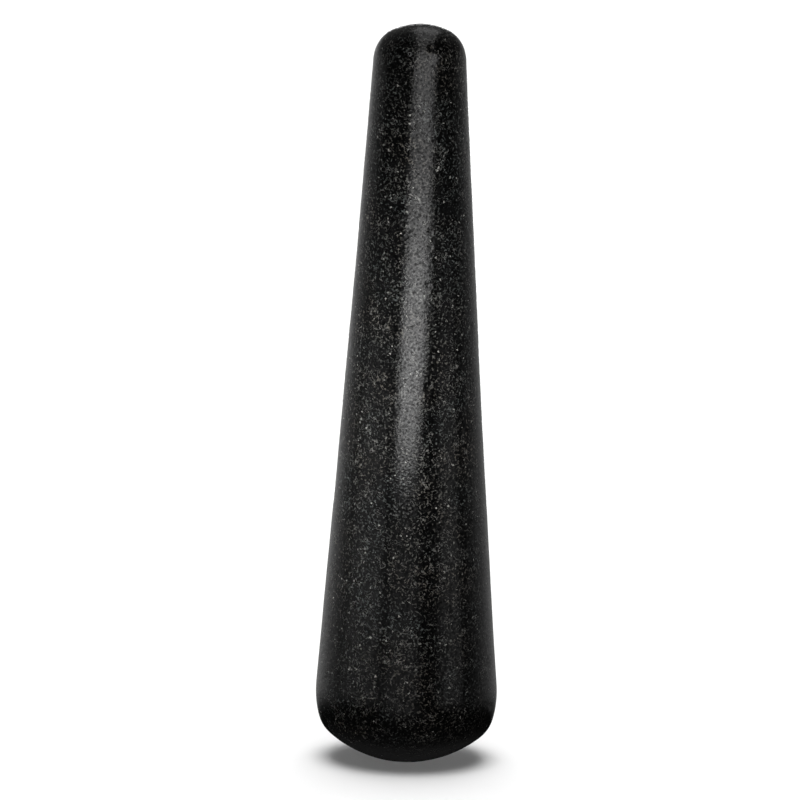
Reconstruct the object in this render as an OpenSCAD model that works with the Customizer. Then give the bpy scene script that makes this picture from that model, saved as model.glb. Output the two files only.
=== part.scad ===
// Stone pestle: one stone, turned and ground to a long taper with a dome at each end.
// It stands on the wide grinding end. The origin is the middle of the flat spot that it
// stands on, +Z runs up the axis to the tip of the handle, and all sizes are millimetres.

/* [Length] */
// Length from the flat standing spot to the tip of the handle
length = 180; // [145:1:220]

/* [Grinding end] */
// Largest diameter, where the swell of the grinding end is widest
head_d = 44; // [36:0.5:56]
// How far a sharp corner at the largest diameter would stand above the standing spot
face_rise = 9.6; // [7:0.1:12]
// Diameter of the flat spot rubbed in the middle of the grinding face
stand_d = 12; // [9:0.5:16]
// Radius of the rounded edge around the grinding face
edge_r = 7; // [5:0.5:10]
// Radius of the swell between the rounded edge and the side
swell_r = 24; // [18:1:36]
// Turn of the swell below its widest place, in degrees
swell_turn = 16; // [8:1:20]

/* [Handle] */
// Diameter of the handle where its rounded end begins
handle_d = 22.4; // [18:0.1:28]
// How far the tip stands above a sharp corner at the handle diameter
tip_rise = 4.4; // [3.5:0.1:6]
// Radius of the rounded edge around the tip
tip_edge_r = 8.4; // [5:0.1:9]
// How far the side hollows in from a straight taper, half way along
side_hollow = 0.35; // [0:0.05:0.6]

/* [Hidden] */
stone_colour = "#232323";
arc_steps = 12;
side_steps = 16;
turn_facets = 128;
quarter_turn = 90;
head_r = head_d / 2;
stand_r = stand_d / 2;
handle_r = handle_d / 2;

// Grinding face: a dome centred on the axis, cut off flat at the standing spot
face_centre = [0, (head_r ^ 2 + face_rise ^ 2 - stand_r ^ 2) / (2 * face_rise)];
face_r = norm([stand_r, face_centre.y]);

// Rounded edge: its arc touches the face's dome from inside and runs into the swell
edge_x = head_r - swell_r + (swell_r - edge_r) * cos(swell_turn);
edge_centre = [edge_x, face_centre.y - sqrt((face_r - edge_r) ^ 2 - edge_x ^ 2)];

// Swell: the widest place of the pestle
swell_centre = [head_r - swell_r, edge_centre.y + (swell_r - edge_r) * sin(swell_turn)];

// Tip: a dome centred on the axis, with a rounded edge that touches it from inside
tip_r = (handle_r ^ 2 + tip_rise ^ 2) / (2 * tip_rise);
tip_centre = [0, length - tip_r];
tip_edge_x = handle_r - tip_edge_r;
tip_edge_centre = [tip_edge_x, tip_centre.y + sqrt((tip_r - tip_edge_r) ^ 2 - tip_edge_x ^ 2)];

// Side: the line that touches both the swell and the tip's edge, and its turn where it hollows in
side_span = swell_centre - tip_edge_centre;
side_length = norm(side_span);
taper = direction(side_span) + acos((tip_edge_r - swell_r) / side_length);
hollow_turn = atan(4 * side_hollow / side_length);
side_start = swell_centre + polar(swell_r, taper + hollow_turn);
side_end = tip_edge_centre + polar(tip_edge_r, taper - hollow_turn);

function polar(radius, angle) = radius * [cos(angle), sin(angle)];
function direction(v) = atan2(v.y, v.x);

// Points along an arc, without its first point, which ends the stretch before it
function arc(centre, radius, from, to) =
    [for (i = [1:arc_steps]) centre + polar(radius, from + (to - from) * i / arc_steps)];

// Points along the side between its two ends: a straight taper less a shallow parabola
function side_points() =
    [for (i = [1:side_steps])
        let (t = i / side_steps)
        side_start + t * (side_end - side_start) - [4 * side_hollow * t * (1 - t), 0]];

face_start_turn = direction([stand_r, 0] - face_centre);
face_end_turn = direction(edge_centre - face_centre);
tip_start_turn = direction(tip_edge_centre - tip_centre);

// Half outline, from the middle of the standing spot round to the tip of the handle
outline = concat(
    [[0, 0], [stand_r, 0]],
    arc(face_centre, face_r, face_start_turn, face_end_turn),
    arc(edge_centre, edge_r, face_end_turn, -swell_turn),
    arc(swell_centre, swell_r, -swell_turn, taper + hollow_turn),
    side_points(),
    arc(tip_edge_centre, tip_edge_r, taper - hollow_turn, tip_start_turn),
    arc(tip_centre, tip_r, tip_start_turn, quarter_turn)
);

// The whole pestle: its half outline turned about the axis
module pestle() {
    color(stone_colour)
        rotate_extrude($fn = turn_facets)
            polygon(outline);
}

pestle();
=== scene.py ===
import math

import bpy
import numpy as np
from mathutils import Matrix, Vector, noise


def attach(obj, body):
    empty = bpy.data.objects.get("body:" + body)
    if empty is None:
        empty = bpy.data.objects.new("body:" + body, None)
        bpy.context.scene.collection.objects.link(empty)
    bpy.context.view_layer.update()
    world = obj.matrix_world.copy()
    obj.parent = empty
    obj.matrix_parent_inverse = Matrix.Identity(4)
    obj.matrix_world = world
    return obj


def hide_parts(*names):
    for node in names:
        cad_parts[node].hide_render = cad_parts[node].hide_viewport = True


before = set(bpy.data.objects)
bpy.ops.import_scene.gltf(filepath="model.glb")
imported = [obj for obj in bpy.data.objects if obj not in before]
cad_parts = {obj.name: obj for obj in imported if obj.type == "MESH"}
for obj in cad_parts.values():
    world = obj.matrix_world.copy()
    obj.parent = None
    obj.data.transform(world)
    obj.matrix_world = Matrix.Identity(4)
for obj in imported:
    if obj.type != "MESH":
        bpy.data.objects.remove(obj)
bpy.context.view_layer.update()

# --- Pestle ---------------------------------------------------------------------------------
# One length of black gabbro, sawn from the block, pecked and turned to a taper, ground at both
# ends and polished. The wheel and the hand leave it a few tenths of a millimetre out of true,
# with a few peck marks too deep to polish out. It stands on the flat spot rubbed last of all.

MM = 0.001
AROUND = 200
RING_GAP = 0.43 * MM
CHORD_SMOOTHING = 0.8 * MM
WOBBLE_SIZE = 42 * MM
WOBBLE_HEIGHT = 0.22 * MM
FLATS_WIDTH = 11 * MM
FLATS_LENGTH = 55 * MM
FLATS_HEIGHT = 0.09 * MM
RIPPLE_SIZE = 7 * MM
RIPPLE_HEIGHT = 0.035 * MM
CHATTER_SIZE = 2.6 * MM
CHATTER_HEIGHT = 0.007 * MM
PECK_MARKS = 420
PECK_RADIUS_LEAST = 0.6 * MM
PECK_RADIUS_MOST = 1.5 * MM
PECK_STEEPNESS = 0.09
SPOT_RADIUS = 6 * MM
FACE_HEIGHT = 6 * MM


def outline_of(solid):
    """Radius and height of each ring, from the middle of the standing spot round to the tip."""
    widest = {0.0: 0.0}
    for v in solid.data.vertices:
        level = round(v.co.z, 6)
        widest[level] = max(widest.get(level, 0.0), math.hypot(v.co.x, v.co.y))
    corners = np.array([(0.0, 0.0)] + [(widest[level], level) for level in sorted(widest)])
    along = np.r_[0, np.cumsum(np.hypot(*np.diff(corners, axis=0).T))]
    steps = round(along[-1] / RING_GAP)
    stops = np.linspace(0, along[-1], steps + 1)
    radius, height = (np.interp(stops, along, corners[:, i]) for i in (0, 1))
    # Rounds off the solid's short straight chords. Past each end the outline goes on as its
    # mirror image.
    gap = along[-1] / steps
    reach = math.ceil(3 * CHORD_SMOOTHING / gap)
    weights = np.exp(-0.5 * (np.arange(-reach, reach + 1) * gap / CHORD_SMOOTHING) ** 2)
    weights /= weights.sum()
    radius = np.convolve(np.pad(radius, reach, "reflect", reflect_type="odd"), weights, "valid")
    height = np.convolve(np.pad(height, reach, "reflect"), weights, "valid")
    return radius, height - height[0]


def out_of_true(x, y, z):
    """How far the hand-ground surface stands proud of the true outline at a point, in metres."""
    # Each kind of unevenness is read from its own part of the noise.
    wobble = noise.noise(Vector((x, y, z)) / WOBBLE_SIZE)
    flats = noise.noise(Vector((x / FLATS_WIDTH, y / FLATS_WIDTH, z / FLATS_LENGTH)) + Vector((7, 3, 1)))
    ripple = noise.noise(Vector((x, y, z)) / RIPPLE_SIZE + Vector((2, 9, 4)))
    chatter = noise.noise(Vector((x, y, z)) / CHATTER_SIZE + Vector((5, 1, 8)))
    turning = WOBBLE_HEIGHT * wobble + FLATS_HEIGHT * flats
    return turning + RIPPLE_HEIGHT * ripple + CHATTER_HEIGHT * chatter


def peck_marks(points, area):
    """How deep the marks of the pecking hammer are at each point, in metres."""
    random = np.random.default_rng(11)
    centres = points[random.choice(len(points), PECK_MARKS, p=area / area.sum())]
    sizes = random.triangular(PECK_RADIUS_LEAST, PECK_RADIUS_LEAST, PECK_RADIUS_MOST, PECK_MARKS)
    depth = np.zeros(len(points))
    for centre, size in zip(centres, sizes):
        spread = 1 - np.sum((points - centre) ** 2, axis=1) / size**2
        depth = np.maximum(depth, PECK_STEEPNESS * size * spread.clip(0) ** 2)
    return depth


radius, height = outline_of(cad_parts["pestle"])
last = len(radius) - 1
slope = np.stack([np.gradient(radius), np.gradient(height)])
run, rise = slope / np.linalg.norm(slope, axis=0)
turn = math.pi / 2 + 2 * math.pi * np.arange(AROUND) / AROUND
around = np.stack([np.cos(turn), np.sin(turn)], 1)
rings = range(1, last)
ring_points = [(*radius[k] * a, height[k]) for k in rings for a in around]
ring_outward = [(*rise[k] * a, -run[k]) for k in rings for a in around]
true = np.array([(0, 0, 0), *ring_points, (0, 0, height[last])])
outward = np.array([(0, 0, -1), *ring_outward, (0, 0, 1)])
ring_of_point = np.r_[0, np.repeat(rings, AROUND), last]
radius_there = radius[ring_of_point]
proud = np.array([out_of_true(*p) for p in true]) - peck_marks(true, radius_there)
# The surface settles to the flat standing spot, which was rubbed after the rest.
on_face = height[ring_of_point] < FACE_HEIGHT
settle = np.where(on_face, (radius_there / SPOT_RADIUS - 1).clip(0, 1), 1)
points = true + outward * (proud * settle)[:, None]


def at(ring, place):
    """Number of the point on a ring at a place around it."""
    return 1 + (ring - 1) * AROUND + place % AROUND


# Each face comes with its corners' places on the skin unrolled: once around in u, end to end in v.
faces = []
unrolled = []
for place in range(AROUND):
    left, middle, right = ((place + part) / AROUND for part in (0, 0.5, 1))
    faces.append((0, at(1, place + 1), at(1, place)))
    unrolled += [(middle, 0), (right, 1 / last), (left, 1 / last)]
    for ring in range(1, last - 1):
        faces.append((at(ring, place), at(ring, place + 1), at(ring + 1, place + 1), at(ring + 1, place)))
        low, high = ring / last, (ring + 1) / last
        unrolled += [(left, low), (right, low), (right, high), (left, high)]
    faces.append((at(last - 1, place), at(last - 1, place + 1), len(points) - 1))
    unrolled += [(left, 1 - 1 / last), (right, 1 - 1 / last), (middle, 1)]
skin = bpy.data.meshes.new("pestle_stone")
skin.from_pydata(points.tolist(), [], faces)
skin.uv_layers.new(name="unrolled").uv.foreach_set("vector", np.ravel(unrolled))
skin.shade_smooth()
pestle = bpy.data.objects.new("pestle_stone", skin)
bpy.context.scene.collection.objects.link(pestle)


def linear(hex_colour):
    """An sRGB hex colour as linear red, green, blue and alpha."""
    parts = (int(hex_colour[i : i + 2], 16) / 255 for i in (1, 3, 5))
    return [p / 12.92 if p <= 0.04045 else ((p + 0.055) / 1.055) ** 2.4 for p in parts] + [1.0]


def add(tree, kind, inputs=(), **settings):
    """Adds a node; inputs gives a value, or the socket that feeds it, for each of its sockets."""
    new = tree.nodes.new(kind)
    for name, value in settings.items():
        setattr(new, name, value)
    for name, value in dict(inputs).items():
        if isinstance(value, bpy.types.NodeSocket):
            tree.links.new(value, new.inputs[name])
        else:
            new.inputs[name].default_value = value
    return new


# Polished black gabbro: nearly black pyroxene, full of fine paler feldspar grains and short
# curled veins, with scattered bright glints painted into its colour. It gives the eye a
# salt-and-pepper black under a soft wet-looking shine that breaks up where the softer grains
# have polished less.
PYROXENE_DARKEST = "#020202"
PYROXENE_PALEST = "#0c0c0c"
FELDSPAR_COOL = "#626765"
FELDSPAR_WARM = "#6b6760"
VEIN_COLOUR = "#747370"
# The colour of the painted glints: pale specks painted in place of light glinting off crystals.
PAINTED_GLINT_COLOUR = "#b4b4ae"
GABBRO_IOR = 1.54
RELIEF_DEPTH = 0.07 * MM
# Sizes of the patterns, in millimetres.
CLOUD_SIZE = 8
TINT_SIZE = 14
GRAIN_SIZE = 0.55
CRYSTAL_SIZE = 0.6
VEIN_CURL = 1.2
VEIN_PIECE = 1.9
PAINTED_GLINT_SPACING = 1.4
RAG_SIZE = 0.4
RAG_DEPTH = 0.8

black_stone = bpy.data.materials.new("polished_black_gabbro")
black_stone.use_nodes = True
stone = black_stone.node_tree
stone.nodes.clear()
position = add(stone, "ShaderNodeTexCoord").outputs["Object"]
in_mm = add(stone, "ShaderNodeVectorMath", {0: position, 1: (1 / MM,) * 3}, operation="MULTIPLY")
mm = in_mm.outputs[0]
# Clouds of paler and darker stone.
clouds = add(
    stone,
    "ShaderNodeTexNoise",
    {"Vector": mm, "Scale": 1 / CLOUD_SIZE, "Detail": 4, "Roughness": 0.6},
)
cloud = add(
    stone,
    "ShaderNodeMapRange",
    {"Value": clouds.outputs["Fac"], "From Min": 0.38, "From Max": 0.64, "To Min": 0.5, "To Max": 1.05},
)
# Patches of cooler and warmer feldspar.
tinting = add(stone, "ShaderNodeTexNoise", {"Vector": mm, "Scale": 1 / TINT_SIZE, "Detail": 2})
warmth = add(
    stone,
    "ShaderNodeMapRange",
    {"Value": tinting.outputs["Fac"], "From Min": 0.4, "From Max": 0.6},
)
# Feldspar grains, 0.3 to 0.6 mm, each of its own paleness.
grains = add(
    stone,
    "ShaderNodeTexNoise",
    {"Vector": mm, "Scale": 1 / GRAIN_SIZE, "Detail": 2, "Roughness": 0.6},
)
grain = add(
    stone,
    "ShaderNodeMapRange",
    {"Value": grains.outputs["Fac"], "From Min": 0.5, "From Max": 0.66},
    interpolation_type="SMOOTHSTEP",
)
crystals = add(stone, "ShaderNodeTexVoronoi", {"Vector": mm, "Scale": 1 / CRYSTAL_SIZE})
paleness = add(
    stone,
    "ShaderNodeMapRange",
    {"Value": crystals.outputs["Color"], "From Min": 0.25, "From Max": 0.85},
)
# Curled veins, 0.1 mm wide, that follow a level line of a bending pattern and break off.
bends = add(
    stone,
    "ShaderNodeTexNoise",
    {"Vector": mm, "Scale": 1 / VEIN_CURL, "Detail": 1, "Distortion": 0.7},
)
from_line = add(stone, "ShaderNodeMath", {0: bends.outputs["Fac"], 1: 0.5}, operation="SUBTRACT")
gap_to_line = add(stone, "ShaderNodeMath", {0: from_line.outputs[0]}, operation="ABSOLUTE")
line = add(
    stone,
    "ShaderNodeMapRange",
    {"Value": gap_to_line.outputs[0], "From Min": 0.0, "From Max": 0.03, "To Min": 1.0, "To Max": 0.0},
    interpolation_type="SMOOTHSTEP",
)
breaks = add(
    stone,
    "ShaderNodeTexNoise",
    {"Vector": mm, "Scale": 1 / VEIN_PIECE, "Detail": 1, "W": 3.0},
    noise_dimensions="4D",
)
unbroken = add(
    stone,
    "ShaderNodeMapRange",
    {"Value": breaks.outputs["Fac"], "From Min": 0.52, "From Max": 0.62},
    interpolation_type="SMOOTHSTEP",
)
vein = add(stone, "ShaderNodeMath", {0: line.outputs[0], 1: unbroken.outputs[0]}, operation="MULTIPLY")
# Painted glints: ragged pale specks, 0.3 mm, painted into the colour in place of light glinting off
# crystal faces, in about half the cells of their pattern, most of them faint.
jitter = add(stone, "ShaderNodeTexNoise", {"Vector": mm, "Scale": 1 / RAG_SIZE, "Detail": 0})
ragged = add(
    stone,
    "ShaderNodeVectorMath",
    {0: jitter.outputs["Color"], 1: (RAG_DEPTH,) * 3, 2: mm},
    operation="MULTIPLY_ADD",
)
cells = add(stone, "ShaderNodeTexVoronoi", {"Vector": ragged.outputs[0], "Scale": 1 / PAINTED_GLINT_SPACING})
dot = add(
    stone,
    "ShaderNodeMapRange",
    {"Value": cells.outputs["Distance"], "From Min": 0.08, "From Max": 0.2, "To Min": 1.0, "To Max": 0.0},
)
lucky = add(
    stone,
    "ShaderNodeMapRange",
    {"Value": cells.outputs["Color"], "From Min": 0.47, "From Max": 0.85},
)
# Where the painted glints fall and how strongly each is painted.
painted_glint = add(stone, "ShaderNodeMath", {0: dot.outputs[0], 1: lucky.outputs[0]}, operation="MULTIPLY")
# The stone's colour: mottled black ground, then grains, veins and painted glints over it.
mottling = add(
    stone,
    "ShaderNodeMapRange",
    {"Value": grains.outputs["Fac"], "From Min": 0.36, "From Max": 0.54},
)
ground = add(
    stone,
    "ShaderNodeMix",
    {"Factor": mottling.outputs[0], "A": linear(PYROXENE_DARKEST), "B": linear(PYROXENE_PALEST)},
    data_type="RGBA",
)
feldspar = add(
    stone,
    "ShaderNodeMix",
    {"Factor": warmth.outputs[0], "A": linear(FELDSPAR_COOL), "B": linear(FELDSPAR_WARM)},
    data_type="RGBA",
)
pale_grain = add(
    stone,
    "ShaderNodeMath",
    {0: grain.outputs[0], 1: paleness.outputs[0]},
    operation="MULTIPLY",
)
grain_amount = add(
    stone,
    "ShaderNodeMath",
    {0: pale_grain.outputs[0], 1: cloud.outputs[0]},
    operation="MULTIPLY",
)
grained = add(
    stone,
    "ShaderNodeMix",
    {"Factor": grain_amount.outputs[0], "A": ground.outputs["Result"], "B": feldspar.outputs["Result"]},
    data_type="RGBA",
)
vein_amount = add(
    stone,
    "ShaderNodeMath",
    {0: vein.outputs[0], 1: cloud.outputs[0]},
    operation="MULTIPLY",
)
veined = add(
    stone,
    "ShaderNodeMix",
    {"Factor": vein_amount.outputs[0], "A": grained.outputs["Result"], "B": linear(VEIN_COLOUR)},
    data_type="RGBA",
)
# Painted glints: pale specks laid over the colour in place of light glinting off the crystals.
painted_glints = add(
    stone,
    "ShaderNodeMix",
    {"Factor": painted_glint.outputs[0], "A": veined.outputs["Result"], "B": linear(PAINTED_GLINT_COLOUR)},
    data_type="RGBA",
)
# The shine: some crystals polish to a bright gloss, and the softer ones stay satin.
hardness = add(stone, "ShaderNodeSeparateColor", {0: crystals.outputs["Color"]})
roughness = add(
    stone,
    "ShaderNodeMapRange",
    {"Value": hardness.outputs["Blue"], "From Min": 0.0, "From Max": 0.4, "To Min": 0.24, "To Max": 0.1},
)
polish = add(
    stone,
    "ShaderNodeMapRange",
    {"Value": grains.outputs["Fac"], "From Min": 0.34, "From Max": 0.52, "To Min": 0.12, "To Max": 0.5},
)
relief = add(
    stone,
    "ShaderNodeBump",
    {"Height": grains.outputs["Fac"], "Strength": 1.0, "Distance": RELIEF_DEPTH},
)
surface = add(
    stone,
    "ShaderNodeBsdfPrincipled",
    {
        "Base Color": painted_glints.outputs["Result"],
        "Roughness": roughness.outputs[0],
        "Specular IOR Level": polish.outputs[0],
        "IOR": GABBRO_IOR,
        "Normal": relief.outputs[0],
    },
)
add(stone, "ShaderNodeOutputMaterial", {"Surface": surface.outputs[0]})
skin.materials.append(black_stone)
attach(pestle, "root")
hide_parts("pestle")

# --- Floor ----------------------------------------------------------------------------------
# A wide sweep of white paper, lit until it burns out, so that only the pestle's shadow shows.
# It sends no light back, so the underside of the grinding end stays dark.

FLOOR_REACH = 30.0
PAPER_COLOUR = "#f0f0f0"
PAPER_ROUGHNESS = 0.9

floor_mesh = bpy.data.meshes.new("floor")
floor_corners = [(x * FLOOR_REACH, y * FLOOR_REACH, 0) for x, y in ((-1, -1), (1, -1), (1, 1), (-1, 1))]
floor_mesh.from_pydata(floor_corners, [], [(0, 1, 2, 3)])
floor = bpy.data.objects.new("floor", floor_mesh)
bpy.context.scene.collection.objects.link(floor)
# White paper: even, bright and without shine.
white_paper = bpy.data.materials.new("white_paper")
white_paper.use_nodes = True
paper = white_paper.node_tree.nodes["Principled BSDF"]
paper.inputs["Base Color"].default_value = linear(PAPER_COLOUR)
paper.inputs["Roughness"].default_value = PAPER_ROUGHNESS
floor_mesh.materials.append(white_paper)
floor.visible_glossy = False
floor.visible_diffuse = False

# --- Light ----------------------------------------------------------------------------------
# A plain white studio. Reflections see a dim room, lighter behind the pestle than before it,
# with no more than a faint glow underfoot.

world = bpy.data.worlds.new("studio")
bpy.context.scene.world = world
world.use_nodes = True
room = world.node_tree
room.nodes.clear()
way = add(room, "ShaderNodeSeparateXYZ", {0: add(room, "ShaderNodeTexCoord").outputs["Generated"]})
depth = add(
    room,
    "ShaderNodeMapRange",
    {"Value": way.outputs["Y"], "From Min": -0.15, "From Max": 0.9, "To Min": 0.012, "To Max": 0.46},
)
lift = add(room, "ShaderNodeMapRange", {"Value": way.outputs["Z"], "From Min": -0.3, "From Max": -0.14})
ceiling = add(
    room,
    "ShaderNodeMapRange",
    {"Value": way.outputs["Z"], "From Min": 0.0, "From Max": 0.25, "To Min": 1.0, "To Max": 0.25},
)
sides = add(
    room,
    "ShaderNodeMapRange",
    {"Value": way.outputs["X"], "From Min": -0.4, "From Max": 0.4, "To Min": 1.2, "To Max": 0.75},
)
underfoot = add(
    room,
    "ShaderNodeMapRange",
    {"Value": way.outputs["Z"], "From Min": -0.9, "From Max": -0.3, "To Min": 0.05, "To Max": 0.0},
)
walls = add(room, "ShaderNodeMath", {0: depth.outputs[0], 1: lift.outputs[0]}, operation="MULTIPLY")
shaded = add(room, "ShaderNodeMath", {0: walls.outputs[0], 1: ceiling.outputs[0]}, operation="MULTIPLY")
level = add(
    room,
    "ShaderNodeMath",
    {0: shaded.outputs[0], 1: sides.outputs[0], 2: underfoot.outputs[0]},
    operation="MULTIPLY_ADD",
)
dim = add(room, "ShaderNodeBackground", {"Color": (1, 1, 1, 1), "Strength": level.outputs[0]})
white = add(room, "ShaderNodeBackground", {"Color": (1, 1, 1, 1), "Strength": 1.0})
ray = add(room, "ShaderNodeLightPath")
seen = add(
    room,
    "ShaderNodeMixShader",
    {0: ray.outputs["Is Camera Ray"], 1: dim.outputs[0], 2: white.outputs[0]},
)
add(room, "ShaderNodeOutputWorld", {"Surface": seen.outputs[0]})

only_stone = bpy.data.collections.new("only_stone")
only_stone.objects.link(pestle)
only_floor = bpy.data.collections.new("only_floor")
only_floor.objects.link(floor)


def lamp(name, kind, lights, where, towards, power, **settings):
    """Adds a lamp, unseen by the camera, that lights one collection from one point towards another."""
    data = bpy.data.lights.new(name, kind)
    data.energy = power
    for setting, value in settings.items():
        setattr(data, setting, value)
    new = bpy.data.objects.new(name, data)
    bpy.context.scene.collection.objects.link(new)
    new.location = where
    new.rotation_euler = (Vector(towards) - Vector(where)).to_track_quat("-Z", "Y").to_euler()
    new.visible_camera = False
    new.light_linking.receiver_collection = lights
    return new


def panel(name, where, towards, power, width, height, **settings):
    """Adds a flat panel of light that lights the stone alone."""
    return lamp(
        name,
        "AREA",
        only_stone,
        where,
        towards,
        power,
        shape="RECTANGLE",
        size=width,
        size_y=height,
        **settings,
    )


# The softbox close in front draws the long highlight. Its diffuser is brightest low down, and
# both its sides lean to the right towards the top, the right side more than the left.
BOX_LEFT = -0.0355
BOX_BOTTOM = 0.0725
BOX_WIDTH = 0.129
BOX_HEIGHT = 0.17
BOX_DISTANCE = 0.09
BOX_POWER = 0.275
LEFT_LEAN = 0.27
RIGHT_LEAN = 0.78
box_x = BOX_LEFT + BOX_WIDTH / 2
box_z = BOX_BOTTOM + BOX_HEIGHT / 2
softbox = panel(
    "front_softbox",
    where=(box_x, -BOX_DISTANCE, box_z),
    towards=(box_x, 0, box_z),
    power=BOX_POWER,
    width=BOX_WIDTH,
    height=BOX_HEIGHT,
    use_nodes=True,
)
diffuser = softbox.data.node_tree
diffuser.nodes.clear()
on_diffuser = add(diffuser, "ShaderNodeNewGeometry").outputs["Parametric"]
spot = add(diffuser, "ShaderNodeSeparateXYZ", {0: on_diffuser})
left_lean = add(
    diffuser,
    "ShaderNodeMath",
    {0: spot.outputs["Y"], 1: -LEFT_LEAN, 2: spot.outputs["X"]},
    operation="MULTIPLY_ADD",
)
left_side = add(
    diffuser,
    "ShaderNodeMapRange",
    {"Value": left_lean.outputs[0], "From Min": -0.06, "From Max": 0.06},
)
right_lean = add(
    diffuser,
    "ShaderNodeMath",
    {0: spot.outputs["Y"], 1: -RIGHT_LEAN, 2: spot.outputs["X"]},
    operation="MULTIPLY_ADD",
)
right_side = add(
    diffuser,
    "ShaderNodeMapRange",
    {"Value": right_lean.outputs[0], "From Min": 0.31, "From Max": 0.42, "To Min": 1.0, "To Max": 0.0},
)
side = add(
    diffuser,
    "ShaderNodeMath",
    {0: left_side.outputs[0], 1: right_side.outputs[0]},
    operation="MULTIPLY",
)
fade = add(
    diffuser,
    "ShaderNodeMapRange",
    {"Value": spot.outputs["Y"], "From Min": 0.22, "From Max": 0.42, "To Min": 1.0, "To Max": 0.36},
)
glow = add(diffuser, "ShaderNodeMath", {0: side.outputs[0], 1: fade.outputs[0]}, operation="MULTIPLY")
shine = add(diffuser, "ShaderNodeEmission", {"Strength": glow.outputs[0]})
add(diffuser, "ShaderNodeOutputLight", {"Surface": shine.outputs[0]})

# Two dim cards low down at the sides keep the lower half from going black.
panel("left_card", (-0.22, -0.12, 0.042), (0, 0, 0.042), power=0.029, width=0.23, height=0.11)
panel("right_card", (0.21, -0.13, 0.04), (0, 0, 0.04), power=0.015, width=0.14, height=0.12)

# A narrow spot from high on the left picks out the grain of the lower half.
lamp(
    "grain_spot",
    "AREA",
    only_stone,
    where=(-0.17, -0.32, 0.36),
    towards=(0, 0, 0.065),
    power=0.017,
    shape="DISK",
    size=0.06,
    spread=math.radians(19),
)

# A dim card low in front keeps the grinding end from going black.
panel("front_card", (-0.02, -0.16, 0.01), (-0.02, 0, 0.01), power=0.008, width=0.12, height=0.09)

# A tall softbox behind draws the highlight on the back.
panel("rear_softbox", (0, 0.45, 0.12), (0, 0, 0.12), power=0.42, width=0.13, height=0.3)

# A long softbox overhead lights the rounded tip.
panel("tip_softbox", (0.03, -0.03, 0.36), (0.03, -0.03, 0), power=0.115, width=0.1, height=0.55)

# A row of broad tubes overhead, front to back, gives the soft shadow under the stone, and a
# fill that casts none keeps it from going black.
TUBE_TILTS = (-16, -2, 12, 26)
for tilt in TUBE_TILTS:
    lamp(
        f"tube_{tilt}",
        "SUN",
        only_floor,
        where=(0, math.tan(math.radians(tilt)), 1),
        towards=(0, 0, 0),
        power=0.975,
        angle=math.radians(44),
    )
lamp("fill", "SUN", only_floor, where=(0, 0, 1), towards=(0, 0, 0), power=0.43, use_shadow=False)

# --- Camera ---------------------------------------------------------------------------------
# A long lens two metres away, looking a little down. It is rolled a little, so that the pestle
# leans to the right.

CAMERA_DISTANCE = 2.1
CAMERA_ELEVATION = math.radians(11)
CAMERA_ROLL = math.radians(1.23)
SENSOR_WIDTH_MM = 36
LENS_MM = 392
FARTHEST = 100

camera_data = bpy.data.cameras.new("camera")
camera = bpy.data.objects.new("camera", camera_data)
bpy.context.scene.collection.objects.link(camera)
bpy.context.scene.camera = camera
target = Vector((-0.003, 0, 0.0882))
back_off = Vector((0, -math.cos(CAMERA_ELEVATION), math.sin(CAMERA_ELEVATION)))
camera.location = target + CAMERA_DISTANCE * back_off
camera.rotation_euler = (target - camera.location).to_track_quat("-Z", "Y").to_euler()
camera.rotation_euler.rotate_axis("Z", CAMERA_ROLL)
camera_data.sensor_width = SENSOR_WIDTH_MM
camera_data.lens = LENS_MM
camera_data.clip_end = FARTHEST
bpy.context.scene.view_settings.view_transform = "Standard"
